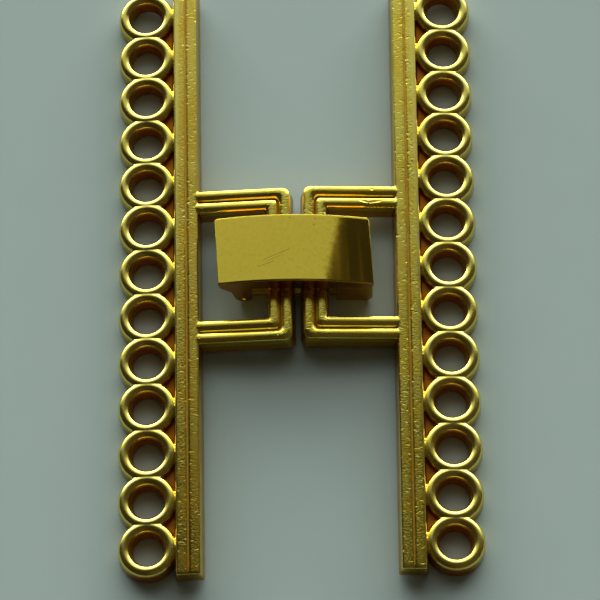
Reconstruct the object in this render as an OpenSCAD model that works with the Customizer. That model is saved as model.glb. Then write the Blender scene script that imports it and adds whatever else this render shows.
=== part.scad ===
// Multi-strand clasp: two cast end bars, each with a row of fused strand rings and a
// rectangular frame, whose crossbars are held side by side in a small fold-over clasp.
// It lies flat on a table: X runs across from bar to bar, Y runs along the bars, Z is up.

/* [Strand rings] */
// Number of fused strand rings on each end bar
ring_count = 13; // [5:2:15]
// Distance between the centres of neighbouring rings
ring_pitch = 4.5; // [4.3:0.1:4.8]
// Diameter of each strand hole at its narrow lower end
ring_hole_d = 2.8; // [2.6:0.1:3.0]
// How far each hole's wall leans back towards the ring's crown
hole_flare = 0.16; // [0.1:0.02:0.3]
// Width of the round crown of metal about each hole
ring_band = 1.1; // [0.9:0.05:1.2]
// Height of the rings above their flat back
ring_h = 1.7; // [1.5:0.1:1.9]

/* [End bars] */
// Width of the double-ribbed rail that the bar and the frame are made of
rail_w = 2.25; // [2.0:0.05:2.5]
// Height of the rail above its flat back
rail_h = 2.0; // [1.8:0.1:2.2]
// How far the foot of a rail's wall stands out past its top
draft = 0.2; // [0.05:0.05:0.25]
// Width of the groove between the two ribs
groove_w = 0.28; // [0.2:0.02:0.4]
// Depth of the groove between the two ribs
groove_d = 0.45; // [0.3:0.05:0.6]
// Radius of the round shoulders along each rib
rib_round = 0.25; // [0.2:0.05:0.35]
// Distance from the middle of the clasp to the inner edge of each bar
bar_x = 9.15; // [8.5:0.05:10.0]
// How far each bar runs past the crown of its last ring
bar_overrun = 0.04; // [0:0.02:0.6]

/* [Frames] */
// Outer height of each frame along the bar
frame_h = 15.5; // [14.5:0.1:17.0]
// Distance from the middle of the clasp to the outer face of each crossbar
crossbar_x = 0.5; // [0.4:0.05:0.7]
// Radius of the two outer corners of each frame at their foot
frame_corner = 0.9; // [0.6:0.1:1.4]
// How far the frame sits from the middle of its bar, towards the far end
frame_shift = 0.17; // [0:0.01:0.3]

/* [Fold-over clasp] */
// Length of the arched cover, across the two crossbars
cover_l = 14.3; // [13.8:0.1:14.6]
// Width of the cover, along the crossbars
cover_w = 6.7; // [6.0:0.1:7.5]
// Shift of the cover's middle towards its hinged end
cover_shift = 0.28; // [0:0.02:0.4]
// Height of the cover from its rim to the crown of its arch
cover_rise = 1.85; // [1.6:0.05:2.0]
// Radius of the arch of the cover
arch_r = 27; // [25:0.5:32]
// How far the cover's ends run askew
cover_skew = 3.8; // [0:0.2:5]
// Thickness of the cover's walls
cover_t = 0.5; // [0.4:0.05:0.6]
// Thickness of the base plate
base_t = 0.45; // [0.35:0.05:0.6]
// Clear height between the base plate and the rim of the cover, where the crossbars lie
pocket_h = 2.47; // [2.4:0.01:2.6]
// Height of a resting crossbar's lower edge above the base plate
seat_gap = 0.22; // [0.2:0.01:0.3]
// Distance of the hinge pin from the middle of the clasp
pin_x = 5.0; // [4.8:0.05:5.2]
// Diameter of the hinge pin
pin_d = 0.6; // [0.5:0.05:0.7]
// How far the fold-over clasp has slid along the crossbars
clasp_slide = 0.77; // [0:0.01:1.5]
// Turn of the fold-over clasp on the loose crossbars
clasp_turn = 1.0; // [0:0.1:1.5]
// Turn of each half in its loose seat, which brings the bars together at one end
toe_in = 0.5; // [0:0.1:0.6]
// How far the halves have slid past each other along their crossbars
half_slide = 0.06; // [0:0.02:0.1]

/* [Hidden] */
gold = [0.83, 0.66, 0.22];
polished_gold = [0.75, 0.68, 0.25];
$fn = 64;

// Ring sizes: the crown of each ring is a half circle, and its walls spread towards the foot
hole_r = ring_hole_d / 2;
hole_land = 0.4;
ring_in = hole_r + hole_flare;
ring_spread = 0.1;
ring_out = ring_in + ring_band + ring_spread;
crown_r = ring_band / 2;
crown_low = ring_h - crown_r;
ring_sink = 0.13;
ring_x = bar_x + rail_w + ring_out - ring_sink;
half_reach = ring_x + ring_out;
web_w = 1.5;
web_h = 1.25;
web_in = 0.2;
web_short = 0.25;
web_out = ring_out - ring_in - web_short;
flash_w = 1.3;
flash_h = 0.8;

// Rail sizes
rib_w = (rail_w - groove_w) / 2;
row_l = (ring_count - 1) * ring_pitch;
bar_l = row_l + 2 * (ring_in + ring_band + bar_overrun);
crossbar_in = crossbar_x + rail_w;
arm_sink = 0.35;
arm_end = bar_x + arm_sink;
foot_left = crossbar_x - draft;
foot_right = crossbar_in + draft;
foot_half = frame_h / 2 + draft;
window_foot = frame_h / 2 - rail_w - draft;

// Each half pivots about the middle of its crossbar, and its outermost rings rest on the table
axis_x = crossbar_x + rail_w / 2;
lean = asin((base_t + seat_gap) / (half_reach - crossbar_in - draft));
axis_z = rail_h / 2 * cos(lean) + (half_reach - axis_x) * sin(lean);
// The turned bars reach further at one end, so both halves shift by this to stay centred
toe_y = (ring_x - axis_x) * sin(toe_in);

// Fold-over clasp heights and ends
rim_z = base_t + pocket_h;
crown_z = rim_z + cover_rise;
arch_x = -cover_shift;
cover_left = arch_x - cover_l / 2;
cover_right = arch_x + cover_l / 2;
arch_z = crown_z - arch_r;
end_bevel = 0.25;
end_z = arch_z + sqrt(pow(arch_r, 2) - pow(cover_l / 2, 2)) - end_bevel;
knuckle_r = 0.75;
ear_r = 0.8;
ear_lift = 0.05;
pin_z = ear_r + ear_lift;
ear_inset = 0.4;
ear_left = cover_left + ear_inset;
ear_right = -pin_x + ear_r;
ear_hip = 0.25;
ear_hip_drop = 0.85;
side_gap = 0.08;
inner_w = cover_w - 2 * (cover_t + side_gap);
pin_gap = 0.04;
press_gap = 0.01;

// Catch block at the opening end, with a slot for the tongue under the cover
catch_left = 3.7;
catch_inset = 0.12;
catch_right = cover_right - catch_inset;
catch_round = 0.8;
catch_gap = 0.07;
catch_h = rim_z - catch_gap;
tongue_x = 4.75;
tongue_t = 0.4;
tongue_w = 3.0;
tongue_foot = 1.2;
tongue_top = arch_z + sqrt(pow(arch_r, 2) - pow(tongue_x + tongue_t - arch_x, 2)) - cover_t / 2;
slot_play = 0.35;

// Half of a ring's section: walls that spread towards the foot, and a half-round crown
module ring_section() {
    polygon([
        [hole_r, 0],
        [ring_out, 0],
        [ring_in + ring_band, crown_low],
        [ring_in, crown_low],
        [hole_r, hole_land]
    ]);
    translate([ring_in + crown_r, crown_low])
        circle(crown_r);
}

module strand_ring() {
    rotate_extrude()
        ring_section();
}

// One rib seen end on, with round shoulders
module rib_section(h) {
    square([rib_w, h - rib_round]);
    translate([rib_round, 0])
        square([rib_w - 2 * rib_round, h]);
    for (x = [rib_round, rib_w - rib_round])
        translate([x, h - rib_round])
            circle(rib_round);
}

// The rail seen end on: two ribs with a groove between them
module rail_section(h) {
    rib_section(h);
    translate([rail_w - rib_w, 0])
        rib_section(h);
    polygon([
        [-draft, 0],
        [rail_w + draft, 0],
        [rail_w, h - groove_d],
        [0, h - groove_d]
    ]);
}

// A straight rail of length l along Y, from x = 0 to the rail's width
module rail(l) {
    rotate([90, 0, 0])
        linear_extrude(height = l, center = true)
            rail_section(rail_h);
}

// The rectangular plan of a frame's foot, with its two outer corners rounded
module frame_plan() {
    corner_x = foot_left + frame_corner;
    corner_y = foot_half - frame_corner;
    translate([corner_x, -foot_half])
        square([arm_end - corner_x, 2 * foot_half]);
    translate([foot_left, -corner_y])
        square([frame_corner, 2 * corner_y]);
    for (side = [-1, 1])
        translate([corner_x, side * corner_y])
            circle(frame_corner);
}

// The part of the plan that the crossbar fills, up to the mitred corners
module crossbar_plan() {
    polygon([
        [foot_left, -foot_half],
        [foot_right, -window_foot],
        [foot_right, window_foot],
        [foot_left, foot_half]
    ]);
}

// The part of the plan that the far arm fills
module arm_plan() {
    polygon([
        [foot_left, foot_half],
        [foot_right, window_foot],
        [arm_end, window_foot],
        [arm_end, foot_half]
    ]);
}

module crossbar() {
    intersection() {
        translate([crossbar_x, 0, 0])
            rail(2 * foot_half);
        linear_extrude(height = rail_h)
            crossbar_plan();
    }
}

module arm() {
    intersection() {
        translate([0, frame_h / 2, 0])
            rotate([0, 0, -90])
                translate([0, bar_x / 2, 0])
                    rail(2 * bar_x);
        linear_extrude(height = rail_h)
            arm_plan();
    }
}

// The U-shaped frame: a crossbar and two arms with mitred ribs
module frame() {
    intersection() {
        union() {
            crossbar();
            arm();
            mirror([0, 1, 0])
                arm();
        }
        linear_extrude(height = rail_h)
            frame_plan();
    }
}

// The row of rings, each joined to the bar by a web; a thinner web fills the nooks between
module ring_row() {
    web_left = bar_x + rail_w - web_in;
    for (i = [0 : ring_count - 1]) {
        y = i * ring_pitch - row_l / 2;
        translate([ring_x, y, 0])
            strand_ring();
        translate([web_left, y - web_w / 2, 0])
            cube([web_in + web_out, web_w, web_h]);
    }
    translate([web_left, -row_l / 2, 0])
        cube([flash_w, row_l, flash_h]);
}

// One half of the clasp, flat on its back, reaching out along +X
module flat_half() {
    translate([bar_x, 0, 0])
        rail(bar_l);
    translate([0, frame_shift, 0])
        frame();
    ring_row();
}

// The half as it rests: its crossbar lifted by the base plate, its rings on the table
module resting_half(slide) {
    translate([axis_x, toe_y + slide, axis_z])
        rotate([0, 0, -toe_in])
            rotate([0, lean, 0])
                translate([-axis_x, 0, -rail_h / 2])
                    flat_half();
}

module right_end_bar() {
    color(gold)
        resting_half(half_slide);
}

module left_end_bar() {
    color(gold)
        mirror([1, 0, 0])
            resting_half(-half_slide);
}

// Turns a shape drawn in X and Z into a slab of width w across the clasp, as the clasp lies
module slab(w, at = 0, skew = 0) {
    translate([0, clasp_slide, 0])
        rotate([0, 0, skew - clasp_turn])
            translate([0, at, 0])
                rotate([90, 0, 0])
                    linear_extrude(height = w, center = true)
                        children();
}

// The arch of the cover seen from the side, longer than the cover and t inside its skin
module arch_outline(t = 0) {
    intersection() {
        translate([arch_x, arch_z])
            circle(arch_r - t, $fn = 360);
        translate([cover_left - 1, rim_z - t])
            square([cover_l + 2, cover_rise + t]);
    }
}

// The bevelled ends that the arch is cut to, seen from the side
module end_outline() {
    polygon([
        [cover_left, rim_z],
        [cover_right, rim_z],
        [cover_right, end_z],
        [arch_x, end_z + cover_l / 2],
        [cover_left, end_z]
    ]);
}

// The arched shell of the cover, open underneath, with its ends askew
module cover_shell() {
    difference() {
        intersection() {
            slab(cover_w)
                arch_outline();
            slab(2 * cover_w, skew = cover_skew)
                end_outline();
        }
        intersection() {
            slab(cover_w - 2 * cover_t)
                arch_outline(cover_t);
            slab(2 * cover_w, skew = cover_skew)
                translate([cover_left + cover_t, rim_z - cover_t])
                    square([cover_l - 2 * cover_t, 2 * cover_rise]);
        }
    }
}

// One ear of the cover, which reaches down round the hinge pin
module ear_outline() {
    difference() {
        union() {
            translate([-pin_x, pin_z])
                circle(ear_r);
            polygon([
                [ear_left, rim_z + cover_t],
                [ear_left, rim_z],
                [-pin_x - ear_r - ear_hip, rim_z - ear_hip_drop],
                [-pin_x - ear_r, pin_z],
                [ear_right, pin_z],
                [ear_right, rim_z + cover_t]
            ]);
        }
        translate([-pin_x, pin_z])
            circle(pin_d / 2 + pin_gap);
    }
}

// The arched, hollow cover with its two hinge ears and its latch tongue
module clasp_cover() {
    color(polished_gold) {
        cover_shell();
        for (side = [-1, 1])
            slab(cover_t, side * (cover_w - cover_t) / 2)
                ear_outline();
        slab(tongue_w)
            translate([tongue_x, tongue_foot])
                square([tongue_t, tongue_top - tongue_foot]);
    }
}

// The catch block's rounded outer end, seen from the side
module catch_outline() {
    translate([0, catch_round])
        square([catch_right, catch_h - catch_round]);
    square([catch_right - catch_round, catch_round]);
    translate([catch_right - catch_round, catch_round])
        circle(catch_round);
}

// The base: a plate under both crossbars, a hinge knuckle at one end and the catch at the other
module clasp_base() {
    color(gold)
        difference() {
            union() {
                slab(inner_w)
                    translate([-pin_x, 0])
                        square([pin_x + catch_left + base_t, base_t]);
                slab(inner_w)
                    translate([-pin_x, pin_z])
                        circle(knuckle_r);
                intersection() {
                    slab(cover_w - side_gap)
                        translate([catch_left, 0])
                            square([cover_l, catch_h]);
                    slab(2 * cover_w, skew = cover_skew)
                        catch_outline();
                }
            }
            slab(cover_w)
                translate([-pin_x, pin_z])
                    circle(pin_d / 2 + press_gap);
            slab(tongue_w + slot_play)
                translate([tongue_x - slot_play, base_t])
                    square([tongue_t + 2 * slot_play, catch_h]);
        }
}

// The pin that the cover folds on
module hinge_pin() {
    color(gold)
        slab(cover_w - side_gap)
            translate([-pin_x, pin_z])
                circle(pin_d / 2);
}

left_end_bar();
right_end_bar();
clasp_base();
clasp_cover();
hinge_pin();
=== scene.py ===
# %% [markdown]
# # A multi-strand clasp in gold-plated casting
# Two cast end bars, each with a row of fused strand rings and a small rectangular frame, meet in
# the middle. A fold-over clasp closes round their crossbars. The imported solids give the sizes and
# places, so each piece below is made in that same frame, in metres, and its box is compared with its
# solid's. The soft edges, the groove, the colours, the wear and the light are matched to one
# photograph by measuring its brightness, so they are only as good as that view.

# %% Load the frame
import math

import bmesh
import bpy
import numpy as np
from mathutils import Matrix, Vector


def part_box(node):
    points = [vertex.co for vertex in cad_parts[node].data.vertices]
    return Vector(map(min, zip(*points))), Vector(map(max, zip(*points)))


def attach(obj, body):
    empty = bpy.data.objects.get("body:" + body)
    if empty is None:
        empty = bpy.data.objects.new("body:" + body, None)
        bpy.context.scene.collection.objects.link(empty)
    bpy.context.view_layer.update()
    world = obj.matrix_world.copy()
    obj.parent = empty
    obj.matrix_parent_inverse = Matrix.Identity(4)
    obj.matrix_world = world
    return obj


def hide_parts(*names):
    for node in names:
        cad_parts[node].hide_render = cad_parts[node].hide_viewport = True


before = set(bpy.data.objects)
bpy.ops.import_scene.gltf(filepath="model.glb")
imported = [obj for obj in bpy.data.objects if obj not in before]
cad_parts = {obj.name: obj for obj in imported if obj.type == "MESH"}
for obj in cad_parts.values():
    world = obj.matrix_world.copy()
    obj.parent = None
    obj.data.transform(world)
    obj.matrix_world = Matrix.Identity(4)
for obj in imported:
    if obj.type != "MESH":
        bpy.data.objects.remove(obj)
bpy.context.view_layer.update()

MM = 0.001

# %% [markdown]
# ## The photograph's viewpoint
# The twenty-six strand rings are evenly spaced on the real bars, so their places in the photograph
# tell how far away the camera was and how it leaned: 267 mm off, 23.5 degrees from straight down,
# with a slight roll. The lens is long for that distance, which keeps the bars nearly parallel.

# %% Camera
VIEW_TILT, VIEW_TURN, VIEW_ROLL = (math.radians(a) for a in (23.5, 2.312, 3.343))
VIEW_DISTANCE, FOCAL_PX, FRAME_PX = 267.345 * MM, 2859.85, 600
ORIGIN_PX = (297.87, 275.7)


def camera_matrix():
    """The camera's axes and place, from the tilt, turn and roll that the ring spacing gives."""
    right = Vector((1, 0, 0))
    up = Vector((0, math.cos(VIEW_TILT), math.sin(VIEW_TILT)))
    back = Vector((0, -math.sin(VIEW_TILT), math.cos(VIEW_TILT)))
    c, s = math.cos(VIEW_ROLL), math.sin(VIEW_ROLL)
    right, up = right * c - up * s, right * s + up * c
    off_x, off_y = ((p - FRAME_PX / 2) * VIEW_DISTANCE / FOCAL_PX for p in ORIGIN_PX)
    place = back * VIEW_DISTANCE - right * off_x + up * off_y
    rows = [[right[i], up[i], back[i], place[i]] for i in range(3)]
    rows.append([0, 0, 0, 1])
    return Matrix.Rotation(VIEW_TURN, 4, "Z") @ Matrix(rows)


camera = bpy.data.objects.new("camera", bpy.data.cameras.new("camera"))
camera.matrix_world = camera_matrix()
camera.data.sensor_width = 36
camera.data.lens = FOCAL_PX / FRAME_PX * camera.data.sensor_width
camera.data.clip_start, camera.data.clip_end = 0.01, 20
bpy.context.scene.collection.objects.link(camera)
bpy.context.scene.camera = camera
print("lens", round(camera.data.lens, 1), "mm at", [round(v / MM) for v in camera.location], "mm")

# %% [markdown]
# ## Helpers
# Node trees are easier to read when each node is added and filled in one line. Sockets are named,
# and a socket's value is either a plain number or another node's output.

# %% Node and mesh helpers
def add(tree, kind, **settings):
    """Adds a node, sets its properties, and returns it."""
    node = tree.nodes.new(kind)
    for key, value in settings.items():
        setattr(node, key, value)
    return node


def live(sockets, name):
    """The socket of that name which the node's own settings leave in use."""
    return next(socket for socket in sockets if socket.name == name and socket.enabled)


def plug(tree, node, **inputs):
    """Fills a node's inputs by name, with _ for a space, or by place as i0, i1; an output is linked."""
    for key, value in inputs.items():
        if key[0] == "i" and key[1:].isdigit():
            socket = node.inputs[int(key[1:])]
        else:
            socket = live(node.inputs, key.replace("_", " "))
        if isinstance(value, bpy.types.NodeSocket):
            tree.links.new(value, socket)
        else:
            socket.default_value = value
    return node


def maths(tree, operation, a, b=0.0, clamp=False):
    """One step of arithmetic on numbers or sockets."""
    node = add(tree, "ShaderNodeMath", operation=operation, use_clamp=clamp)
    return plug(tree, node, i0=a, i1=b).outputs[0]


def mesh_object(name, verts, faces, smooth=True):
    """A mesh object from points in millimetres, with its doubles merged and its faces turned outwards."""
    mesh = bpy.data.meshes.new(name)
    mesh.from_pydata([(x * MM, y * MM, z * MM) for x, y, z in verts], [], faces)
    bm = bmesh.new()
    bm.from_mesh(mesh)
    bmesh.ops.remove_doubles(bm, verts=bm.verts, dist=1e-8)
    bmesh.ops.recalc_face_normals(bm, faces=bm.faces)
    bm.to_mesh(mesh)
    bm.free()
    if smooth:
        mesh.shade_smooth()
    obj = bpy.data.objects.new(name, mesh)
    bpy.context.scene.collection.objects.link(obj)
    return obj


def finished(obj, name):
    """Bakes an object's modifiers into a new plain mesh object and deletes the working one."""
    graph = bpy.context.evaluated_depsgraph_get()
    mesh = bpy.data.meshes.new_from_object(obj.evaluated_get(graph), depsgraph=graph)
    mesh.name = name
    bpy.data.objects.remove(obj)
    done = bpy.data.objects.new(name, mesh)
    bpy.context.scene.collection.objects.link(done)
    return done


print("helpers ready, for node trees and for meshes in millimetres")

# %% [markdown]
# ## The double-ribbed rail
# Bars, arms and crossbars share one section: two ribs with a narrow groove between them, on a wall
# that leans in slightly so that the casting leaves its mould. The bar's ribs are nearly flat on top
# and the frame's are rounder. A section is a list of points, which is simplest to sweep by hand
# because each corner of the frame needs its own rounding.

# %% Rail section
RAIL_W, RAIL_H = 2.25, 2.0
DRAFT, WALL_TOP = 0.2, 1.55
SHOULDER_STEPS = 8


def arc(cx, cy, r, start, end, steps, squash=1.0):
    """Points on an arc, in degrees; squash makes it lower than it is wide."""
    return [
        (cx + r * math.cos(math.radians(a)), cy + r * squash * math.sin(math.radians(a)))
        for a in np.linspace(start, end, steps)
    ]


def rail_section(shoulder_w, shoulder_h, groove_w, groove_d):
    """(across, up) points round the rail, anticlockwise from the inner foot."""
    middle, squash, z = RAIL_W / 2, shoulder_h / shoulder_w, RAIL_H - shoulder_h
    points = [(-DRAFT, 0.0), (RAIL_W + DRAFT, 0.0), (RAIL_W, WALL_TOP)]
    for outer, inner in ((RAIL_W, middle + groove_w / 2), (middle - groove_w / 2, 0.0)):
        points += arc(outer - shoulder_w, z, shoulder_w, 0, 90, SHOULDER_STEPS, squash)
        points += arc(inner + shoulder_w, z, shoulder_w, 90, 180, SHOULDER_STEPS, squash)
        if inner:
            points.append((middle, RAIL_H - groove_d))
    return points + [(0.0, WALL_TOP)]


BAR_SECTION = rail_section(0.30, 0.20, 0.12, 0.38)
FRAME_SECTION = rail_section(0.46, 0.30, 0.18, 0.48)
print("rail sections:", len(BAR_SECTION), "and", len(FRAME_SECTION), "points")

# %% [markdown]
# ## Sweeping the rails
# The bar is a straight sweep with its end shoulders drawn in. The frame is a U: on the real casting
# the outer corner is rounded far more than the window's corner, but not as much as a bent wire's would
# be, so each point of the section follows its own U, whose corner radius grows with its distance from
# the window.

# %% Bar and frame
BAR_X, BAR_HALF = 9.15, 29.7
CROSSBAR_IN, WINDOW_HALF, ARM_ROOT = 2.75, 5.5, 0.45
FRAME_SHIFT = 0.17
CORNER_IN, CORNER_GROW, CORNER_STEPS = 0.12, 0.27, 9
# how far from the bar's end, and how far drawn in there
END_SHOULDER = ((0, 0.10), (0.05, 0.03), (0.16, 0))


def sweep(name, lines):
    """A closed skin through equal lines of points, one line for each point of a closed section."""
    rows, cols = len(lines), len(lines[0])
    verts = [p for line in lines for p in line]
    faces = [
        (i * cols + j, i * cols + j + 1, (i + 1) % rows * cols + j + 1, (i + 1) % rows * cols + j)
        for i in range(rows)
        for j in range(cols - 1)
    ]
    faces += [[i * cols for i in range(rows)], [i * cols + cols - 1 for i in reversed(range(rows))]]
    return mesh_object(name, verts, faces)


def bar_line(u, h):
    """One line along the bar; the last tenths of a millimetre are drawn in for a soft shoulder."""
    centre = RAIL_W / 2
    line = []
    for from_end, inset in END_SHOULDER:
        k = 1 - inset / centre
        line.append((BAR_X + centre + (u - centre) * k, -BAR_HALF + from_end, h * (1 - inset / RAIL_H)))
    return line + [(x, -y, z) for x, y, z in reversed(line)]


def frame_line(u, h):
    """One line round the U-shaped frame, from inside the bar and back."""
    r = CORNER_IN + CORNER_GROW * u
    x, y = CROSSBAR_IN - u + r, -(WINDOW_HALF + u) + r
    line = [(BAR_X + ARM_ROOT, y - r, h)]
    line += [(px, py, h) for px, py in arc(x, y, r, 270, 180, CORNER_STEPS)]
    line += [(px, -py, pz) for px, py, pz in reversed(line)]
    return [(px, py + FRAME_SHIFT, pz) for px, py, pz in line]


bar = sweep("bar", [bar_line(u, h) for u, h in BAR_SECTION])
u_frame = sweep("u_frame", [frame_line(u, h) for u, h in FRAME_SECTION])
print("bar", len(bar.data.polygons), "faces, frame", len(u_frame.data.polygons), "faces")

# %% [markdown]
# ## One strand ring
# A ring is a band with a half-round crown, and a low web ties it to the bar. It is spun once here, and
# repeated by Geometry Nodes in the next step.

# %% Ring and web
HOLE_R, HOLE_LAND = 1.4, 0.4
RING_IN, RING_BAND, RING_SPREAD = 1.56, 1.1, 0.1
RING_OUT = RING_IN + RING_BAND + RING_SPREAD
RING_H, RING_X = 1.7, 14.03
RING_COUNT, RING_PITCH = 13, 4.5
CROWN_STEPS, SPIN_STEPS = 13, 64
WEB_W, WEB_H, WEB_TAPER = 1.7, 1.3, 0.75
WEB_FOOT, WEB_TIP = 0.12, 0.05
# how far the web and the flash reach into the bar, and the web into the ring
WEB_SINK, FLASH_SINK, RING_SINK = 0.3, 0.2, 0.12
FLASH_W, FLASH_H = 1.3, 0.8


def spun(points, steps):
    """Spins a closed section of (radius, height) points about the Z axis."""
    n = len(points)
    verts = [
        (r * math.cos(a), r * math.sin(a), z)
        for a in np.linspace(0, 2 * math.pi, steps, endpoint=False)
        for r, z in points
    ]
    faces = [
        (i * n + j, (i + 1) % steps * n + j, (i + 1) % steps * n + (j + 1) % n, i * n + (j + 1) % n)
        for i in range(steps)
        for j in range(n)
    ]
    return verts, faces


def ring_and_web():
    """One ring round its own axis, and the web that ties it to the bar."""
    crown = RING_BAND / 2
    section = [(HOLE_R, 0), (RING_OUT, 0)]
    section += arc(RING_IN + crown, RING_H - crown, crown, 0, 180, CROWN_STEPS)
    section.append((HOLE_R, HOLE_LAND))
    verts, faces = spun(section, SPIN_STEPS)
    base = len(verts)
    x0, x1 = BAR_X + RAIL_W - WEB_SINK - RING_X, -RING_IN - RING_SINK
    w = WEB_W / 2
    for x, half in ((x0, w + WEB_FOOT), (x1, w - WEB_TIP)):
        top = half * WEB_TAPER
        verts += [(x, -half, 0), (x, half, 0), (x, top, WEB_H), (x, -top, WEB_H)]
    quads = [(0, 1, 2, 3), (4, 7, 6, 5), (0, 4, 5, 1), (1, 5, 6, 2), (2, 6, 7, 3), (3, 7, 4, 0)]
    return verts, faces + [tuple(base + i for i in q) for q in quads]


def plain_box(xs, ys, zs):
    """Points and faces of a box between two values of x, y and z; it is softened later."""
    corners = ((xs[0], ys[0]), (xs[1], ys[0]), (xs[1], ys[1]), (xs[0], ys[1]))
    verts = [(x, y, z) for z in zs for x, y in corners]
    walls = [(i, (i + 1) % 4, (i + 1) % 4 + 4, i + 4) for i in range(4)]
    return verts, [(3, 2, 1, 0), (4, 5, 6, 7)] + walls


ring = mesh_object("strand_ring", *ring_and_web())
row_half = (RING_COUNT - 1) * RING_PITCH / 2
flash_x = BAR_X + RAIL_W - FLASH_SINK
flash = mesh_object("flash", *plain_box((flash_x, flash_x + FLASH_W), (-row_half, row_half), (0, FLASH_H)))
print("ring", len(ring.data.polygons), "faces")

# %% [markdown]
# ## A row of rings with Geometry Nodes
# Thirteen equal rings at one pitch are what Geometry Nodes are for: a line of points, one ring on
# each, and a hair of unevenness from a seeded random value, as in a casting from a handmade model.

# %% Ring row tree
def new_tree(name, **inputs):
    """A geometry node tree with a geometry in and out and the given number inputs."""
    tree = bpy.data.node_groups.new(name, "GeometryNodeTree")
    kinds = {float: "NodeSocketFloat", int: "NodeSocketInt"}
    tree.interface.new_socket("Geometry", in_out="INPUT", socket_type="NodeSocketGeometry")
    for key, value in inputs.items():
        kind = "NodeSocketObject" if value is None else kinds.get(type(value), "NodeSocketMaterial")
        socket = tree.interface.new_socket(key.replace("_", " "), in_out="INPUT", socket_type=kind)
        if type(value) in kinds:
            socket.default_value = value
    tree.interface.new_socket("Geometry", in_out="OUTPUT", socket_type="NodeSocketGeometry")
    return tree, add(tree, "NodeGroupInput").outputs, add(tree, "NodeGroupOutput").inputs[0]


def use_tree(obj, tree, **inputs):
    """Adds a tree to an object, with its inputs set by identifier before it is evaluated."""
    modifier = obj.modifiers.new(tree.name, "NODES")
    modifier.node_group = tree
    for item in tree.interface.items_tree:
        key = item.name.replace(" ", "_")
        if item.item_type == "SOCKET" and item.in_out == "INPUT" and key in inputs:
            modifier[item.identifier] = inputs[key]
    return modifier


def ring_row_tree():
    tree, given, out = new_tree(
        "ring_row", Ring=None, Count=RING_COUNT, Pitch=RING_PITCH * MM, Bar_Distance=RING_X * MM,
        Unevenness=0.02 * MM, Seed=1, Metal=Ellipsis,
    )
    half = maths(tree, "MULTIPLY", maths(tree, "SUBTRACT", given["Count"], 1.0), -0.5)
    start = add(tree, "ShaderNodeCombineXYZ")
    plug(tree, start, X=given["Bar Distance"], Y=maths(tree, "MULTIPLY", half, given["Pitch"]))
    step = plug(tree, add(tree, "ShaderNodeCombineXYZ"), Y=given["Pitch"])
    line = add(tree, "GeometryNodeMeshLine")
    plug(tree, line, Count=given["Count"], Start_Location=start.outputs[0], Offset=step.outputs[0])
    low = maths(tree, "MULTIPLY", given["Unevenness"], -1.0)
    jitter = add(tree, "FunctionNodeRandomValue", data_type="FLOAT_VECTOR")
    for index, value in ((0, low), (1, given["Unevenness"])):
        tree.links.new(value, jitter.inputs[index])
    tree.links.new(given["Seed"], jitter.inputs["Seed"])
    moved = add(tree, "GeometryNodeSetPosition")
    plug(tree, moved, Geometry=line.outputs[0], Offset=jitter.outputs[0])
    source = plug(tree, add(tree, "GeometryNodeObjectInfo"), Object=given["Ring"])
    rings = add(tree, "GeometryNodeInstanceOnPoints")
    plug(tree, rings, Points=moved.outputs[0], Instance=source.outputs["Geometry"])
    join = add(tree, "GeometryNodeJoinGeometry")
    tree.links.new(rings.outputs[0], join.inputs[0])
    tree.links.new(given["Geometry"], join.inputs[0])
    real = plug(tree, add(tree, "GeometryNodeRealizeInstances"), Geometry=join.outputs[0])
    metal = add(tree, "GeometryNodeSetMaterial")
    plug(tree, metal, Geometry=real.outputs[0], Material=given["Metal"])
    tree.links.new(metal.outputs[0], out)
    return tree


ring_row = ring_row_tree()
print("ring row tree:", len(ring_row.nodes), "nodes")

# %% [markdown]
# ## Fusing the casting
# On the real bar everything runs together in one skin, with small fillets where rings, webs, arms and
# bar meet. A voxel remesh gives that: it joins all the overlapping shells, and a few smoothing steps
# melt the corners. The surface is then made a little uneven, as plated castings are, by a second tree.
# That tree also blurs the positions of the skin: a point that lies below its blurred neighbourhood is
# in a hollow, and the distance is kept as an attribute, for the painted shade in the hollows. A second
# attribute keeps each place's level above the back, for the painted shade low on the walls.

# %% Cast skin tree
# noise above this is left at the surface, so that the skin is only ever sunk
NOISE_TOP = 0.56


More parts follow.
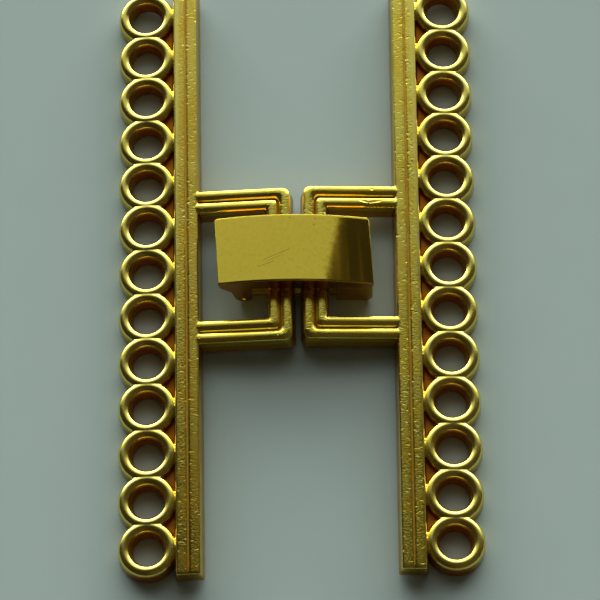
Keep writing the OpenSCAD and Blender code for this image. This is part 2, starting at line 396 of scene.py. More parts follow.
def cast_skin_tree():
    """Sinks the skin along its normals by soft seeded noise, and keeps how hollow each place is."""
    tree, given, out = new_tree(
        "cast_skin", Depth=0.004 * MM, Grain=0.9 * MM, Dent_Depth=0.012 * MM, Dent_Spacing=4.0 * MM, Seed=1.0,
        Blur_Steps=40, Metal=Ellipsis,
    )
    normal = add(tree, "GeometryNodeInputNormal").outputs[0]
    shift = plug(tree, add(tree, "ShaderNodeCombineXYZ"), X=given["Seed"])
    place = add(tree, "ShaderNodeVectorMath", operation="ADD")
    plug(tree, place, i0=add(tree, "GeometryNodeInputPosition").outputs[0], i1=shift.outputs[0])
    total = 0.0
    for size, depth, detail in (("Grain", "Depth", 2.0), ("Dent Spacing", "Dent Depth", 0.0)):
        noise = plug(tree, add(tree, "ShaderNodeTexNoise"), Vector=place.outputs[0], Detail=detail)
        tree.links.new(maths(tree, "DIVIDE", 1.0, given[size]), noise.inputs["Scale"])
        swing = maths(tree, "MULTIPLY", maths(tree, "SUBTRACT", noise.outputs[0], NOISE_TOP), 2.0)
        total = maths(tree, "ADD", total, maths(tree, "MULTIPLY", swing, given[depth]))
    offset = add(tree, "ShaderNodeVectorMath", operation="SCALE")
    plug(tree, offset, i0=normal, Scale=maths(tree, "MINIMUM", total, 0.0))
    moved = add(tree, "GeometryNodeSetPosition")
    plug(tree, moved, Geometry=given["Geometry"], Offset=offset.outputs[0])
    place = add(tree, "GeometryNodeInputPosition").outputs[0]
    blur = add(tree, "GeometryNodeBlurAttribute", data_type="FLOAT_VECTOR")
    plug(tree, blur, Value=place, Iterations=given["Blur Steps"])
    away = add(tree, "ShaderNodeVectorMath", operation="SUBTRACT")
    plug(tree, away, i0=live(blur.outputs, "Value"), i1=place)
    sunk = add(tree, "ShaderNodeVectorMath", operation="DOT_PRODUCT")
    plug(tree, sunk, i0=away.outputs[0], i1=normal)
    keep = add(tree, "GeometryNodeStoreNamedAttribute", data_type="FLOAT", domain="POINT")
    hollow = maths(tree, "DIVIDE", sunk.outputs["Value"], MM)
    plug(tree, keep, Geometry=moved.outputs[0], Name="hollow", Value=hollow)
    split = plug(tree, add(tree, "ShaderNodeSeparateXYZ"), Vector=place)
    level = add(tree, "GeometryNodeStoreNamedAttribute", data_type="FLOAT", domain="POINT")
    height = maths(tree, "DIVIDE", split.outputs[2], MM)
    plug(tree, level, Geometry=keep.outputs[0], Name="level", Value=height)
    real = plug(tree, add(tree, "GeometryNodeRealizeInstances"), Geometry=level.outputs[0])
    metal = add(tree, "GeometryNodeSetMaterial")
    plug(tree, metal, Geometry=real.outputs[0], Material=given["Metal"])
    tree.links.new(metal.outputs[0], out)
    return tree


cast_skin = cast_skin_tree()
gold_plate = bpy.data.materials.new("cast_gold_plate")
VOXEL = 0.062 * MM
TRIANGLE_LIMIT = 190_000
MELT, MELT_STEPS = 0.5, 4
print("cast skin tree:", len(cast_skin.nodes), "nodes")

# %% [markdown]
# ## Casting the two halves
# Each half is made flat on its back, as it would lie in the mould: the bar, frame and flash in one
# mesh, the rings added by their tree, then fused, melted a little and given its skin. The two get
# different seeds, so that their unevenness differs as it does between two castings.

# %% Cast one half, flat on its back
def cast_half(name, seed):
    """One end bar as it comes out of the mould: rings repeated, shells fused, skin made uneven."""
    blank = bpy.data.objects.new(name + "_blank", bar.data.copy())
    bpy.context.scene.collection.objects.link(blank)
    bm = bmesh.new()
    bm.from_mesh(bar.data)
    bm.from_mesh(u_frame.data)
    bm.from_mesh(flash.data)
    bm.to_mesh(blank.data)
    bm.free()
    use_tree(blank, ring_row, Ring=ring, Seed=seed, Metal=gold_plate)
    fuse = blank.modifiers.new("fuse", "REMESH")
    fuse.mode, fuse.voxel_size, fuse.use_smooth_shade = "VOXEL", VOXEL, True
    melt = blank.modifiers.new("melt", "SMOOTH")
    melt.factor, melt.iterations = MELT, MELT_STEPS
    use_tree(blank, cast_skin, Seed=float(seed), Metal=gold_plate)
    graph = bpy.context.evaluated_depsgraph_get()
    faces = len(blank.evaluated_get(graph).data.polygons)
    thin = blank.modifiers.new("thin", "DECIMATE")
    thin.ratio = min(1.0, TRIANGLE_LIMIT / (2 * faces))
    return finished(blank, name)


right_bar = cast_half("right_cast_bar", 3)
left_bar = cast_half("left_cast_bar", 8)
print("faces:", [len(half.data.polygons) for half in (right_bar, left_bar)])

# %% [markdown]
# ## Laying the halves down
# Each crossbar is lifted by the clasp's base plate and the outer rings rest on the table, so each half
# leans by just under three degrees, and it is turned half a degree in its loose seat.

# %% Rest pose
SEAT_LIFT, CROSSBAR_X = 0.67, 0.5
TOE_IN, HALF_SLIDE = math.radians(0.5), 0.06
AXIS_X = CROSSBAR_X + RAIL_W / 2
RING_REACH = RING_X + RING_OUT
LEAN = math.asin(SEAT_LIFT / (RING_REACH - CROSSBAR_IN - DRAFT))
AXIS_Z = RAIL_H / 2 * math.cos(LEAN) + (RING_REACH - AXIS_X) * math.sin(LEAN)
TOE_Y = (RING_X - AXIS_X) * math.sin(TOE_IN)


def rest_matrix(slide):
    """From the half flat on its back to the right half at rest, slid a little along its crossbar."""
    up = Matrix.Translation(Vector((AXIS_X, TOE_Y + slide, AXIS_Z)) * MM)
    turn = Matrix.Rotation(-TOE_IN, 4, "Z") @ Matrix.Rotation(LEAN, 4, "Y")
    return up @ turn @ Matrix.Translation(Vector((-AXIS_X, 0, -RAIL_H / 2)) * MM)


def compare_box(obj, node):
    """Prints how far a piece's box stands out past its node's, in mm: below, then above."""
    co = np.array([v.co for v in obj.data.vertices]) / MM
    low, high = (np.array(corner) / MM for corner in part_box(node))
    print(obj.name, "stands out by", np.round(low - co.min(0), 3), np.round(co.max(0) - high, 3))


for half in (right_bar, left_bar):
    for point in half.data.vertices:
        point.co.z = max(point.co.z, 0.0)
right_bar.data.transform(rest_matrix(HALF_SLIDE))
left_bar.data.transform(Matrix.Diagonal((-1, 1, 1, 1)) @ rest_matrix(-HALF_SLIDE))
left_bar.data.flip_normals()
compare_box(right_bar, "right_end_bar")
compare_box(left_bar, "left_end_bar")

for helper in (bar, u_frame, ring, flash):
    bpy.data.objects.remove(helper)
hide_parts("left_end_bar")
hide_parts("right_end_bar")
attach(left_bar, "left_half")
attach(right_bar, "right_half")

# %% [markdown]
# ## The fold-over cover
# The cover is stamped from sheet: an arched lid with short walls all round, and two ears at one end
# that reach down to the hinge. It is built as one block with twenty-four strips under the arch, its
# edges rolled over by a bevel that must be narrower than a strip, and then hollowed out. Its two
# ends run a few degrees askew, as they do in the photograph.

# %% Cover
CLASP_SLIDE, CLASP_TURN, COVER_SKEW = 0.77, math.radians(1.0), math.radians(3.8)
COVER_L, COVER_W, COVER_T = 14.3, 6.7, 0.5
ARCH_X, ARCH_R, ARCH_STEPS = -0.28, 27.0, 24
RIM_Z, CROWN_Z = 2.92, 4.766
PIN_X, PIN_Z, PIN_BORE = -5.0, 0.85, 0.34
EAR_R, EAR_LEFT, EAR_HIP = 0.8, -7.03, (-6.05, 2.07)
EDGE_ROLL, RIM_ROLL, CLIP = 0.33, 0.06, 0.2
TONGUE_BOX, TONGUE_ROLL = ((4.75, 5.15), (-1.5, 1.5), (1.2, 4.1)), 0.08


def askew(x, y):
    """Where a cover end that would be at x lies at y."""
    return x / math.cos(COVER_SKEW) - y * math.tan(COVER_SKEW)


def arch_block(name, half_w, inset, underside):
    """A closed block under the arch with clipped plan corners; its underside runs from right to left."""
    rows = []
    for y, clip in ((-half_w, CLIP), (CLIP - half_w, 0), (half_w - CLIP, 0), (half_w, CLIP)):
        left, right = (askew(ARCH_X + side * (COVER_L / 2 - inset - clip), y) for side in (-1, 1))
        row = []
        for x in np.linspace(left, right, ARCH_STEPS + 1):
            rise = math.sqrt((ARCH_R - inset) ** 2 - (x - ARCH_X) ** 2)
            row.append((x, y, CROWN_Z - ARCH_R + rise))
        row += [(right, y, underside[0][1])]
        row += [(max(x, left + 0.02), y, z) for x, z in underside[1:-1]]
        rows.append(row + [(left, y, underside[-1][1])])
    n = len(rows[0])
    faces = [
        (k * n + i, k * n + (i + 1) % n, (k + 1) * n + (i + 1) % n, (k + 1) * n + i)
        for k in range(3) for i in range(n)
    ]
    caps = [list(range(n)), list(range(4 * n - 1, 3 * n - 1, -1))]
    return mesh_object(name, [point for row in rows for point in row], faces + caps)


def rod(name, r, half, z=PIN_Z, steps=40):
    """A round rod across the clasp on the hinge line."""
    ring_at = [arc(PIN_X, z, r, 0, 360 - 360 / steps, steps)] * 2
    verts = [(x, y, h) for y, points in zip((-half, half), ring_at) for x, h in points]
    faces = [(i, (i + 1) % steps, (i + 1) % steps + steps, i + steps) for i in range(steps)]
    faces += [list(range(steps)), list(range(2 * steps - 1, steps - 1, -1))]
    return mesh_object(name, verts, faces)


def rolled(obj, width, steps=3, above=None):
    """Rounds an object's sharp edges, or only those above a height in millimetres."""
    bevel = obj.modifiers.new("rolled_edges", "BEVEL")
    bevel.width, bevel.segments, bevel.limit_method = width * MM, steps, "ANGLE"
    bevel.angle_limit = math.radians(40 if above is None else 60)
    if above is not None:
        bevel.limit_method = "WEIGHT"
        bm = bmesh.new()
        bm.from_mesh(obj.data)
        weight = bm.edges.layers.float.new("bevel_weight_edge")
        for edge in bm.edges:
            high = (edge.verts[0].co.z + edge.verts[1].co.z) / 2 > above * MM
            edge[weight] = float(high and edge.calc_face_angle() > bevel.angle_limit)
        bm.to_mesh(obj.data)
        bm.free()
    return obj


def cut(obj, tool, operation="DIFFERENCE"):
    """Cuts a tool out of an object, or joins it on, as a modifier."""
    step = obj.modifiers.new("cut", "BOOLEAN")
    step.object, step.operation, step.solver = tool, operation, "EXACT"


def laid_across(obj, name):
    """Finishes a clasp piece that was made square, and turns it as the clasp lies."""
    obj.modifiers.new("flat_faces", "WEIGHTED_NORMAL").keep_sharp = True
    done = finished(obj, name)
    slide = Matrix.Translation((0, CLASP_SLIDE * MM, 0))
    done.data.transform(slide @ Matrix.Rotation(-CLASP_TURN, 4, "Z"))
    return done


ears = [(0, RIM_Z), (PIN_X + EAR_R, RIM_Z)] + arc(PIN_X, PIN_Z, EAR_R, 0, -180, 17)
ears += [EAR_HIP, (EAR_LEFT, RIM_Z), (0, RIM_Z)]
lid = rolled(arch_block("lid", COVER_W / 2, 0, ears), EDGE_ROLL, steps=4, above=RIM_Z)
rolled(lid, RIM_ROLL)
inside = arch_block("inside", COVER_W / 2 - COVER_T, COVER_T, [(0, -1), (0, -1)])
bore = rod("bore", PIN_BORE, COVER_W)
cut(lid, inside)
cut(lid, bore)
tongue = mesh_object("tongue", *plain_box(*TONGUE_BOX), smooth=False)
cut(lid, rolled(tongue, TONGUE_ROLL), "UNION")
cover = laid_across(lid, "arched_cover")
print("cover", len(cover.data.polygons), "faces")
compare_box(cover, "clasp_cover")
for helper in (inside, bore, tongue):
    bpy.data.objects.remove(helper)

# %% [markdown]
# ## Base plate, catch and hinge pin
# Under the crossbars lies a flat plate with a rolled knuckle at one end and the catch block at the
# other. Little of it shows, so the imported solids' own shapes are used: a copy of each is merged, its
# loose triangles are dissolved into whole faces, and its edges are rolled a little, as tumbling in the
# plating barrel leaves them.

# %% Base and pin
def tumbled(node, name, width):
    """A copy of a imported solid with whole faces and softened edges."""
    copy = bpy.data.objects.new(name + "_blank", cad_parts[node].data.copy())
    bpy.context.scene.collection.objects.link(copy)
    bm = bmesh.new()
    bm.from_mesh(copy.data)
    bmesh.ops.remove_doubles(bm, verts=bm.verts, dist=1e-7)
    bmesh.ops.dissolve_limit(bm, angle_limit=math.radians(1), verts=bm.verts, edges=bm.edges)
    bm.to_mesh(copy.data)
    bm.free()
    copy.data.materials.clear()
    copy.data.shade_smooth()
    rolled(copy, width).modifiers.new("flat_faces", "WEIGHTED_NORMAL").keep_sharp = True
    return finished(copy, name)


base = tumbled("clasp_base", "base_and_catch", 0.07)
pin = tumbled("hinge_pin", "hinge_rod", 0.05)
for piece, node, body in (
    (cover, "clasp_cover", "cover"), (base, "clasp_base", "clasp"), (pin, "hinge_pin", "clasp"),
):
    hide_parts(node)
    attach(piece, body)
    print(piece.name, len(piece.data.polygons), "faces")

# %% [markdown]
# ## Grain, painted shade and scratches
# Three effects make bright plate look like cast, plated and handled metal. The grain is the fine
# stipple of the mould. The painted shade is a red-brown darkening in the hollows, for their shade and
# the dark light bounced inside them. Scratches are the hairlines and pits that a polished lid collects.
# Each is a node group, so that every gold finish below can use it with its own amounts, and each puts
# out only a mask or a height.

# %% Shader groups
def new_group(name, inputs, outputs):
    """A shader node group with number sockets, or vector ones where the value is None."""
    group = bpy.data.node_groups.new(name, "ShaderNodeTree")
    for way, sockets in (("INPUT", inputs), ("OUTPUT", outputs)):
        for key, value in sockets.items():
            kind = "NodeSocketVector" if value is None else "NodeSocketFloat"
            socket = group.interface.new_socket(key.replace("_", " "), in_out=way, socket_type=kind)
            if value is not None and way == "INPUT":
                socket.default_value = value
    return group, add(group, "NodeGroupInput").outputs, add(group, "NodeGroupOutput").inputs


def noise(tree, place, size, detail=2.0, roughness=0.5):
    """Soft noise from 0 to 1 whose patches are about that many millimetres wide."""
    node = add(tree, "ShaderNodeTexNoise")
    if isinstance(size, (int, float)):
        scale = 1 / (size * MM)
    else:
        scale = maths(tree, "DIVIDE", 1 / MM, size)
    plug(tree, node, Vector=place, Scale=scale, Detail=detail, Roughness=roughness)
    return node.outputs[0]


def ramp(tree, value, low, high, start=0.0, end=1.0, soft=True):
    """Carries a value from one range to another, and stops at its ends."""
    node = add(tree, "ShaderNodeMapRange", interpolation_type="SMOOTHSTEP" if soft else "LINEAR")
    plug(tree, node, Value=value, From_Min=low, From_Max=high, To_Min=start, To_Max=end)
    return node.outputs[0]


def span(tree, value, low, high, start=0.0, end=1.0):
    """A ramp whose range is in millimetres."""
    return ramp(tree, value, low * MM, high * MM, start, end)


def product(tree, first, *others):
    """Multiplies masks and numbers together."""
    for other in others:
        first = maths(tree, "MULTIPLY", first, other)
    return first


def blend(tree, amount, first, second):
    """Mixes two colours by a mask."""
    node = add(tree, "ShaderNodeMix", data_type="RGBA")
    plug(tree, node, Factor=amount, A=first, B=second)
    return live(node.outputs, "Result")


def grain_group():
    """The mould's stipple: a height for the bump, and a mask of the dots that catch the light."""
    group, given, out = new_group(
        "cast_grain", dict(Place=None, Size=0.2, Pits=0.3), dict(Height=0.0, Dots=0.0)
    )
    fine = noise(group, given["Place"], given["Size"], 1.0, 0.5)
    shift = add(group, "ShaderNodeVectorMath", operation="ADD")
    plug(group, shift, i0=given["Place"], i1=(0.7, 0.3, 0.9))
    pits = ramp(group, noise(group, shift.outputs[0], 0.3, 0.0), 0.26, 0.36, -1.0, 0.0)
    height = maths(group, "ADD", fine, maths(group, "MULTIPLY", pits, given["Pits"]))
    group.links.new(height, out["Height"])
    group.links.new(ramp(group, fine, 0.55, 0.72), out["Dots"])
    return group


def hollow_shade_group():
    """A painted shade mask for hollows, patchy at its edge, from the hollow attribute in millimetres."""
    group, given, out = new_group(
        "hollow_shade", dict(Place=None, Hollow=0.0, Start=0.01, Full=0.08), dict(Shade=0.0)
    )
    patches = maths(group, "SUBTRACT", noise(group, given["Place"], 0.6), 0.5)
    patches = maths(group, "MULTIPLY", patches, 0.05)
    depth = maths(group, "ADD", given["Hollow"], patches)
    group.links.new(ramp(group, depth, given["Start"], given["Full"]), out["Shade"])
    return group


def scratch_group():
    """A mask of one straight scratch, or of a pit where its two ends are the same."""
    group, given, out = new_group(
        "scratch", dict(Place=None, X1=0.0, Y1=0.0, X2=0.0, Y2=0.0, Width=0.05), dict(Mask=0.0)
    )
    split = plug(group, add(group, "ShaderNodeSeparateXYZ"), Vector=given["Place"])
    x, y = (maths(group, "DIVIDE", split.outputs[i], MM) for i in (0, 1))
    px, py = maths(group, "SUBTRACT", x, given["X1"]), maths(group, "SUBTRACT", y, given["Y1"])
    dx, dy = (maths(group, "SUBTRACT", given[b], given[a]) for a, b in (("X1", "X2"), ("Y1", "Y2")))

    def dot(ax, ay, bx, by):
        return maths(group, "ADD", maths(group, "MULTIPLY", ax, bx), maths(group, "MULTIPLY", ay, by))

    length = maths(group, "MAXIMUM", dot(dx, dy, dx, dy), 1e-6)
    along = maths(group, "DIVIDE", dot(px, py, dx, dy), length, clamp=True)
    off_x = maths(group, "SUBTRACT", px, maths(group, "MULTIPLY", dx, along))
    off_y = maths(group, "SUBTRACT", py, maths(group, "MULTIPLY", dy, along))
    off = maths(group, "SQRT", dot(off_x, off_y, off_x, off_y))
    width = given["Width"]
    group.links.new(ramp(group, off, maths(group, "MULTIPLY", width, 0.4), width, 1.0, 0.0), out["Mask"])
    return group


cast_grain, hollow_shade, scratch = grain_group(), hollow_shade_group(), scratch_group()


def use_group(tree, group, **inputs):
    """Places a node group, fills it, and returns its outputs."""
    return plug(tree, add(tree, "ShaderNodeGroup", node_tree=group), **inputs).outputs


print("groups:", [group.name for group in (cast_grain, hollow_shade, scratch)])

# %% [markdown]
# ## Gold-plated casting
# The end bars are plated with a thin, warm gold. Their ribs are finely stippled, while the rings and
# arms are smoother, as if rubbed by strands and by polishing. A red-brown darkening is painted in the
# hollows and low on the walls, more on the side of each ring that faces the bar: painted shade, for the
# shade and the dark bounced light there. Patches of it on the crossbars, in front of the cover, are the
# cover's painted shadow. The ring crowns are tinted paler, a painted highlight.
#
# In the photograph the left bar is duller than the right one. Whether that is its plate or the room's
# light can't be told from one picture. Here the left bar is simply darkened a little towards the red-brown.

# %% Gold plate
# the red-brown is the colour of the painted shade in hollows, low on walls and in the cover's shadow, and of
# dirt in dents
GOLD, DEEP_GOLD, SHADE_AND_DIRT_BROWN = (0.82, 0.68, 0.12, 1), (0.76, 0.57, 0.065, 1), (0.42, 0.11, 0.010, 1)
# paler gold on the ring crowns, a painted highlight tint
CROWN_HIGHLIGHT_GOLD, CROWN_HIGHLIGHT_AMOUNT = (0.86, 0.76, 0.27, 1), 0.3
LEFT_BAR_DARKENING, LOW_WALL_SHADE = 0.18, 0.6
# strength of the cover's shadow painted on the crossbars
COVER_SHADOW_AMOUNT = 0.85
BAR_ROUGH, RING_ROUGH, SHADE_ROUGH = 0.15, 0.20, 0.35
RING_STIPPLE, STIPPLE_DEPTH = 0.12, 0.014
DENT_DEPTH, DENT_FILM = 2.0, 0.4
ARM_DENTS = [
    # x1, y1, x2, y2, width of the dents on the right frame's far arm, in mm
    (6.0, 6.50, 6.6, 6.30, 0.14),
    (6.9, 6.28, 7.8, 6.42, 0.16),
    (7.05, 7.66, 7.12, 7.64, 0.14),
]


def metal_nodes(material):
    """A fully metallic material's tree, shader and the place on the piece."""
    material.use_nodes = True
    tree = material.node_tree
    shader = tree.nodes["Principled BSDF"]
    shader.inputs["Metallic"].default_value = 1.0
    return tree, shader, add(tree, "ShaderNodeTexCoord").outputs["Object"]


def bump(tree, height, depth, normal=None):
    """A bump of that many millimetres for a height from 0 to 1."""
    node = plug(tree, add(tree, "ShaderNodeBump"), Height=height, Distance=depth * MM)
    if normal:
        tree.links.new(normal, node.inputs["Normal"])
    return node.outputs[0]


def painted_shade(tree, place, outward, along, on_rings, crown_highlight):
    """Where shade is painted: in hollows, low on the walls, and as the cover's shadow on the crossbars."""
    hollow = add(tree, "ShaderNodeAttribute", attribute_name="hollow").outputs["Fac"]
    level = add(tree, "ShaderNodeAttribute", attribute_name="level").outputs["Fac"]
    shade_mask = use_group(tree, hollow_shade, Place=place, Hollow=hollow, Start=0.015, Full=0.085)["Shade"]
    shade_mask = product(tree, shade_mask, maths(tree, "SUBTRACT", 1.0, crown_highlight))
    depth = product(tree, level, -1.0)
    low = use_group(tree, hollow_shade, Place=place, Hollow=depth, Start=-1.45, Full=-1.0)["Shade"]
    inner_side = product(tree, on_rings, span(tree, outward, 14.8, 16.0, 0.5, -0.5))
    amount = maths(tree, "ADD", product(tree, inner_side, LOW_WALL_SHADE), LOW_WALL_SHADE)
    shade_mask = maths(tree, "MAXIMUM", shade_mask, product(tree, low, amount))
    # the cover's shadow on the crossbars, painted in noisy patches that fade away from the cover
    cover_shadow = product(tree, span(tree, outward, 3.0, 2.7), span(tree, along, -4.2, -2.6))
    fading = span(tree, along, -1.5, 2.5, COVER_SHADOW_AMOUNT, 0.0)
    patches = ramp(tree, noise(tree, place, 0.5, 3.0), 0.30, 0.55)
    return maths(tree, "MAXIMUM", shade_mask, product(tree, cover_shadow, fading, patches))


def plate_gold():
    """Stippled plate on the ribs, smoother on the rings and arms, with painted shade and a painted highlight.
    """
    tree, shader, place = metal_nodes(gold_plate)
    grain = use_group(tree, cast_grain, Place=place, Size=0.13, Pits=0.5)
    split = plug(tree, add(tree, "ShaderNodeSeparateXYZ"), Vector=place)
    across, along = split.outputs[0], split.outputs[1]
    outward = maths(tree, "ABSOLUTE", across)
    on_rings = span(tree, outward, 10.9, 11.3)
    on_arms = product(tree, span(tree, outward, 2.6, 3.2), span(tree, outward, 8.6, 9.0, 1, 0))
    smooth = maths(tree, "MAXIMUM", on_arms, on_rings)
    level = add(tree, "ShaderNodeAttribute", attribute_name="level").outputs["Fac"]
    # the ring crowns: paler as a painted highlight, and with less painted shade
    crown_highlight = product(tree, ramp(tree, level, 1.15, 1.35), on_rings)
    shade_mask = painted_shade(tree, place, outward, along, on_rings, crown_highlight)
    # the left bar darkened a little towards the red-brown
    left_bar = span(tree, across, -8.6, -9.0)
    left_bar = product(tree, left_bar, LEFT_BAR_DARKENING, maths(tree, "SUBTRACT", 1.0, on_rings))

    cloud = noise(tree, place, 2.2)
    colour = blend(tree, ramp(tree, cloud, 0.35, 0.7), GOLD, DEEP_GOLD)
    colour = blend(tree, product(tree, crown_highlight, CROWN_HIGHLIGHT_AMOUNT), colour, CROWN_HIGHLIGHT_GOLD)
    # painted shade in hollows, low on walls and under the cover, and the left bar's darkening
    colour = blend(tree, maths(tree, "MAXIMUM", shade_mask, left_bar), colour, SHADE_AND_DIRT_BROWN)
    rough = ramp(tree, smooth, 0.0, 1.0, BAR_ROUGH, RING_ROUGH, soft=False)
    rough = maths(tree, "ADD", rough, ramp(tree, cloud, 0.3, 0.7, -0.02, 0.04))
    rough = maths(tree, "ADD", rough, product(tree, shade_mask, SHADE_ROUGH))
    stipple = ramp(tree, smooth, 0.0, 1.0, 1.0, RING_STIPPLE, soft=False)
    height = product(tree, grain["Height"], stipple)
    for x1, y1, x2, y2, width in ARM_DENTS:
        ends = dict(X1=x1, Y1=y1, X2=x2, Y2=y2)
        dent = use_group(tree, scratch, Place=place, Width=width, **ends)["Mask"]
        height = maths(tree, "SUBTRACT", height, product(tree, dent, DENT_DEPTH))
        colour = blend(tree, product(tree, dent, DENT_FILM), colour, SHADE_AND_DIRT_BROWN)
    plug(tree, shader, Base_Color=colour, Roughness=rough, Normal=bump(tree, height, STIPPLE_DEPTH))
    return tree


plate_tree = plate_gold()
print("cast gold plate:", len(plate_tree.nodes), "nodes")

# %% [markdown]
# ## Polished gold
# The cover mirrors the room, slightly blurred, as a sheet polished before plating would. It has the
# soft unevenness that a buffing wheel leaves, a few long scratches and some pits. The base and the pin
# are hardly seen, and get a plain satin plate. On all three the upright walls are darkened red-brown, a
# painted shade.

# %% Polished and satin gold
MARKS = [
    # x1, y1, x2, y2, width of each scratch or pit, in mm on the cover
    (-3.05, -0.35, -0.70, 0.60, 0.04),
    (-2.70, -0.50, -1.30, 0.10, 0.03),
    (-3.60, -1.05, -2.10, -0.55, 0.04),
    (1.62, 3.05, 1.62, 3.05, 0.09),
    (-0.65, 3.80, -0.55, 3.80, 0.06),
    (1.74, 3.70, 1.80, 3.70, 0.06),
]
MARK_BROWN = (0.20, 0.13, 0.02, 1)
BUFFED_GOLD, DEEP_BUFFED_GOLD = (0.84, 0.64, 0.075, 1), (0.79, 0.58, 0.065, 1)
WHEEL_DEPTH, FINE_DEPTH, SATIN_DEPTH = 0.0009, 0.0001, 0.015
polished_gold = bpy.data.materials.new("buffed_gold")
clasp_gold = bpy.data.materials.new("satin_gold")


def upright_shade_mask(tree):
    """A mask of the upright walls, for the painted shade on them."""
    normal = add(tree, "ShaderNodeTexCoord").outputs["Normal"]
    upright = plug(tree, add(tree, "ShaderNodeSeparateXYZ"), Vector=normal).outputs[2]
    return ramp(tree, maths(tree, "ABSOLUTE", upright), 0.55, 0.2)


def polish():
    """The cover's mirror-like plate, with its scratches and pits, and painted shade on its walls."""
    tree, shader, place = metal_nodes(polished_gold)
    marks = 0.0
    for x1, y1, x2, y2, width in MARKS:
        ends = dict(X1=x1, Y1=y1, X2=x2, Y2=y2)
        mark = use_group(tree, scratch, Place=place, Width=width, **ends)["Mask"]
        marks = maths(tree, "MAXIMUM", marks, mark)
    grain = use_group(tree, cast_grain, Place=place, Size=0.16, Pits=0.0)
    smear = noise(tree, place, 0.35, 3.0)
    shaded_wall = upright_shade_mask(tree)
    colour = blend(tree, ramp(tree, smear, 0.4, 0.8), BUFFED_GOLD, DEEP_BUFFED_GOLD)
    colour = blend(tree, product(tree, marks, 0.6), colour, MARK_BROWN)
    # painted shade on the upright walls
    colour = blend(tree, product(tree, shaded_wall, 0.8), colour, SHADE_AND_DIRT_BROWN)
    rough = ramp(tree, smear, 0.35, 0.7, 0.03, 0.05)
    rough = maths(tree, "ADD", rough, product(tree, shaded_wall, 0.2))
    wavy = bump(tree, noise(tree, place, 1.1, 1.0), WHEEL_DEPTH)
    fine = bump(tree, grain["Height"], FINE_DEPTH, wavy)
    plug(tree, shader, Base_Color=colour, Roughness=rough, Normal=fine)


def satin():
    """The plain plate of the base and the pin, with painted shade on their walls."""
    tree, shader, place = metal_nodes(clasp_gold)
    grain = use_group(tree, cast_grain, Place=place, Size=0.25, Pits=0.3)
    colour = blend(tree, ramp(tree, noise(tree, place, 1.5), 0.35, 0.7), GOLD, DEEP_GOLD)
    # painted shade on the upright walls
    colour = blend(tree, product(tree, upright_shade_mask(tree), 0.6), colour, SHADE_AND_DIRT_BROWN)
    rough = ramp(tree, grain["Dots"], 0.0, 1.0, 0.30, 0.38)
    plug(tree, shader, Base_Color=colour, Roughness=rough, Normal=bump(tree, grain["Height"], SATIN_DEPTH))


polish()
satin()
for piece, metal in ((cover, polished_gold), (base, clasp_gold), (pin, clasp_gold)):
    piece.data.materials.clear()
    piece.data.materials.append(metal)
print("finishes:", [metal.name for metal in (gold_plate, polished_gold, clasp_gold)])

# %% [markdown]
# ## The floor
# The clasp lies on plain pale paper. It has a trace of unevenness, so that it doesn't look like a
# flat grey card.

# %% Floor
FLOOR_HALF = 3
PAPER, PALE_PAPER = (0.48, 0.59, 0.57, 1), (0.51, 0.62, 0.60, 1)
floor = bpy.data.objects.new("floor", bpy.data.meshes.new("floor"))
corners = [(x * FLOOR_HALF, y * FLOOR_HALF, 0) for x, y in ((-1, -1), (1, -1), (1, 1), (-1, 1))]
floor.data.from_pydata(corners, [], [(0, 1, 2, 3)])
bpy.context.scene.collection.objects.link(floor)
paper = bpy.data.materials.new("paper")
paper.use_nodes = True
tree = paper.node_tree
paper_place = add(tree, "ShaderNodeTexCoord").outputs["Object"]
paper_tint = blend(tree, noise(tree, paper_place, 6.0), PAPER, PALE_PAPER)
plug(tree, tree.nodes["Principled BSDF"], Base_Color=paper_tint, Roughness=0.9)
floor.data.materials.append(paper)
print("floor", 2 * FLOOR_HALF, "m wide")

# %% [markdown]
# ## Soft studio light
# A wide bright window, low beyond the far end of the bars, gives the crescents on the rings. The
# ceiling towards that end is pale, and the rest of it is dark and warm, more so on the left. The
# straight line where the two meet is what cuts across the polished cover. It also makes the bars
# darken towards the viewer, because each one mirrors more of the dark ceiling there.
#
# The room isn't in the photograph, so this is a light that gives its look, and not a record of it.
# Directions are given by x to the right, y towards the far end and z up, each from -1 to 1.

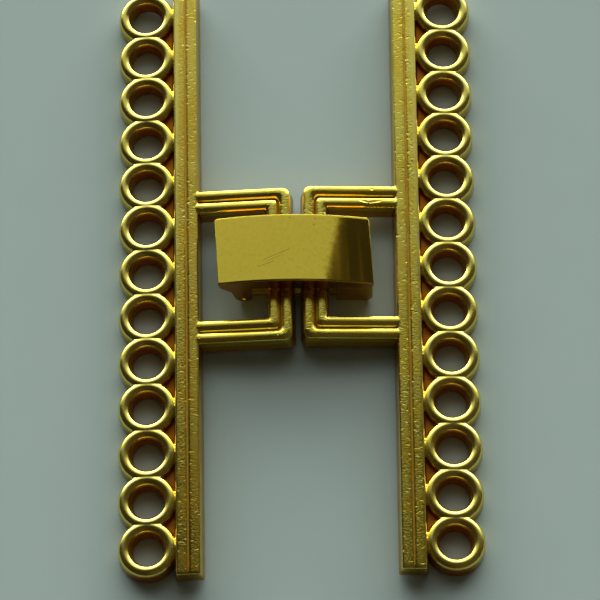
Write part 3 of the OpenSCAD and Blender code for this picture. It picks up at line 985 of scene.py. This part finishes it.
# %% World
WINDOW_LIGHT = 8.5
LINE_START, LINE_END = 0.368, 0.374
LINE_SLOPE, SLOPE_FROM, SLOPE_TO = -0.168, 0.11, 0.35
DARK_TONE, PALE_TONE = (1.0, 0.80, 0.52, 1), (0.93, 1.0, 0.95, 1)


def studio_world():
    """A window, and a ceiling that is pale beyond a straight line."""
    world = bpy.data.worlds.new("studio")
    world.use_nodes = True
    tree = world.node_tree
    tree.nodes.clear()
    direction = add(tree, "ShaderNodeTexCoord").outputs["Generated"]
    split = plug(tree, add(tree, "ShaderNodeSeparateXYZ"), Vector=direction)
    x, y, z = split.outputs

    window = product(
        tree, ramp(tree, y, 0.60, 0.80), ramp(tree, z, 0.0, 0.10), ramp(tree, z, 0.24, 0.40, 1, 0)
    )
    held = maths(tree, "MINIMUM", maths(tree, "MAXIMUM", x, SLOPE_FROM), SLOPE_TO)
    line = maths(tree, "ADD", product(tree, held, LINE_SLOPE), y)
    line = maths(tree, "ADD", line, ramp(tree, x, -0.65, -0.45, -0.10, 0.0))
    far = ramp(tree, line, LINE_START, LINE_END)
    shade = plug(tree, add(tree, "ShaderNodeTexNoise"), Vector=direction, Scale=9.0)
    dark = ramp(tree, shade.outputs[0], 0.40, 0.65, 0.03, 0.12)
    dark = product(tree, dark, ramp(tree, x, -0.15, 0.10, 0.5, 1.05))
    pale = ramp(tree, y, 0.41, 0.48, 0.48, 0.60)
    pale = maths(tree, "ADD", pale, ramp(tree, y, 0.54, 0.72, 0.0, 1.5))
    ceiling = maths(tree, "ADD", dark, product(tree, far, maths(tree, "SUBTRACT", pale, dark)))
    light = maths(tree, "ADD", product(tree, window, WINDOW_LIGHT), ceiling)
    tone = blend(tree, far, DARK_TONE, PALE_TONE)
    back = plug(tree, add(tree, "ShaderNodeBackground"), Color=tone, Strength=light)
    out = add(tree, "ShaderNodeOutputWorld")
    tree.links.new(back.outputs[0], out.inputs[0])
    return world


bpy.context.scene.world = studio_world()
bpy.context.scene.view_settings.view_transform = "Standard"
print("world:", len(bpy.context.scene.world.node_tree.nodes), "nodes")
